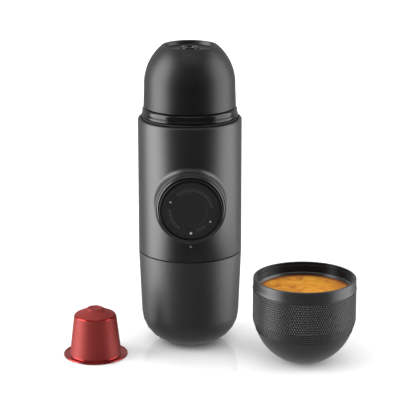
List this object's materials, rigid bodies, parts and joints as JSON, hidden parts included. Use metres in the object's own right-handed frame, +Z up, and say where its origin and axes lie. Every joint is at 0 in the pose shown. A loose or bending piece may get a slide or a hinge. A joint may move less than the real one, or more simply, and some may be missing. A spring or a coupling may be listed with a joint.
{
  "type": "handheld espresso maker",
  "caption": "Handheld manual espresso maker with a screw-on water tank, a piston knob that twists and pumps, a capsule holder, a domed outlet head, and its cup and a capsule beside it.",
  "frame": {"origin": "centre of the water tank's flat foot, on the surface the maker stands on", "axes": "+Z up along the maker's axis; the piston knob faces -Y; the cup stands on the +X side and the capsule on the -X side"},
  "size_m": [0.1686, 0.0958, 0.177],
  "materials": {
    "dark_housing": "satin, fine grained, with a soft broad sheen",
    "dark_tank": "satin, fine grained",
    "dark_head": "satin, fine grained",
    "gloss_black": "polished",
    "knob_black": "matt",
    "inner_grey": "as moulded",
    "valve_white": "as moulded",
    "steel": "bright",
    "spring_steel": "drawn wire",
    "seal_rubber": "matt",
    "clear_rubber": "matt silicone",
    "cup_black": "satin outside, polished inside",
    "grip_black": "knurled",
    "capsule_red": "satin anodised",
    "foil_silver": "bright foil",
    "coffee_brown": "ground coffee",
    "coffee_liquid": "coffee with a fine foam on it"
  },
  "bodies": {
    "water_tank": {"water_tank": "dark_tank"},
    "tank_seal": {"tank_gasket": "seal_rubber", "inlet_strainer": "steel"},
    "main_body": {"body_housing": "dark_housing", "lower_bulkhead": "inner_grey", "tank_thread_ring": "gloss_black", "pump_cylinder": "inner_grey", "cylinder_end_cap": "inner_grey", "end_cap_seal": "seal_rubber", "inlet_valve_seat": "valve_white", "inlet_valve_spring": "spring_steel", "outlet_valve_seat": "valve_white", "outlet_valve_spring": "spring_steel", "brew_manifold": "inner_grey", "brew_deck": "gloss_black", "threaded_neck": "gloss_black", "deck_screws": "steel", "capsule_holder": "gloss_black", "needle_plate": "steel", "neck_collar": "gloss_black", "cup_snap_ring": "seal_rubber", "return_spring": "spring_steel"},
    "inlet_ball": {"inlet_valve_ball": "seal_rubber"},
    "outlet_ball": {"outlet_valve_ball": "seal_rubber"},
    "lock_ring": {"lock_ring": "knob_black"},
    "piston": {"piston_knob": "knob_black", "knob_face": "knob_black", "plunger_sleeve": "inner_grey", "piston_rod": "inner_grey", "piston_seal": "seal_rubber", "knob_screw": "steel"},
    "head_seal": {"capsule_gasket": "clear_rubber"},
    "brew_screen": {"screen_plate": "steel"},
    "outlet_head": {"head_shell": "dark_head", "outlet_insert": "gloss_black"},
    "cup": {"cup_shell": "cup_black", "cup_grip_band": "grip_black", "espresso": "coffee_liquid"},
    "capsule": {"capsule_shell": "capsule_red", "capsule_foil": "foil_silver", "coffee_grounds": "coffee_brown"}
  },
  "joints": [
    {"name": "body_thread_rise", "type": "slide", "parent": "water_tank", "child": "tank_seal", "axis": [0, 0, 1], "range_m": [0, 0.0075]},
    {"name": "body_unscrew", "type": "hinge", "parent": "tank_seal", "child": "main_body", "pos_m": [0, 0, 0.056], "axis": [0, 0, 1], "range_deg": [0, 540]},
    {"name": "head_lift_off", "type": "slide", "parent": "main_body", "child": "brew_screen", "axis": [0, 0, 1], "range_m": [0, 0.05]},
    {"name": "head_thread_rise", "type": "slide", "parent": "brew_screen", "child": "head_seal", "axis": [0, 0, 1], "range_m": [0, 0.0075]},
    {"name": "head_unscrew", "type": "hinge", "parent": "head_seal", "child": "outlet_head", "pos_m": [0, 0, 0.1415], "axis": [0, 0, 1], "range_deg": [0, 540]},
    {"name": "knob_twist", "type": "hinge", "parent": "main_body", "child": "lock_ring", "pos_m": [0, -0.026, 0.09], "axis": [0, 1, 0], "range_deg": [0, 60]},
    {"name": "piston_stroke", "type": "slide", "parent": "lock_ring", "child": "piston", "axis": [0, -1, 0], "range_m": [0, 0.024], "deforming": ["return_spring"]},
    {"name": "inlet_valve_lift", "type": "slide", "parent": "main_body", "child": "inlet_ball", "axis": [0, 0, 1], "range_m": [0, 0.0012], "stiffness_N_per_m": 50, "deforming": ["inlet_valve_spring"]},
    {"name": "outlet_valve_lift", "type": "slide", "parent": "main_body", "child": "outlet_ball", "axis": [0, 0, 1], "range_m": [0, 0.0012], "stiffness_N_per_m": 50, "deforming": ["outlet_valve_spring"]},
    {"name": "cup_lift", "type": "slide", "parent": "water_tank", "child": "cup", "axis": [0, 0, 1], "range_m": [0, 0.08]},
    {"name": "capsule_lift", "type": "slide", "parent": "water_tank", "child": "capsule", "axis": [0, 0, 1], "range_m": [0, 0.04]}
  ],
  "couplings": [
    {"joint": "body_thread_rise", "follows": "body_unscrew", "m_per_rad": 0.00079577},
    {"joint": "head_thread_rise", "follows": "head_unscrew", "m_per_rad": 0.00079577}
  ]
}
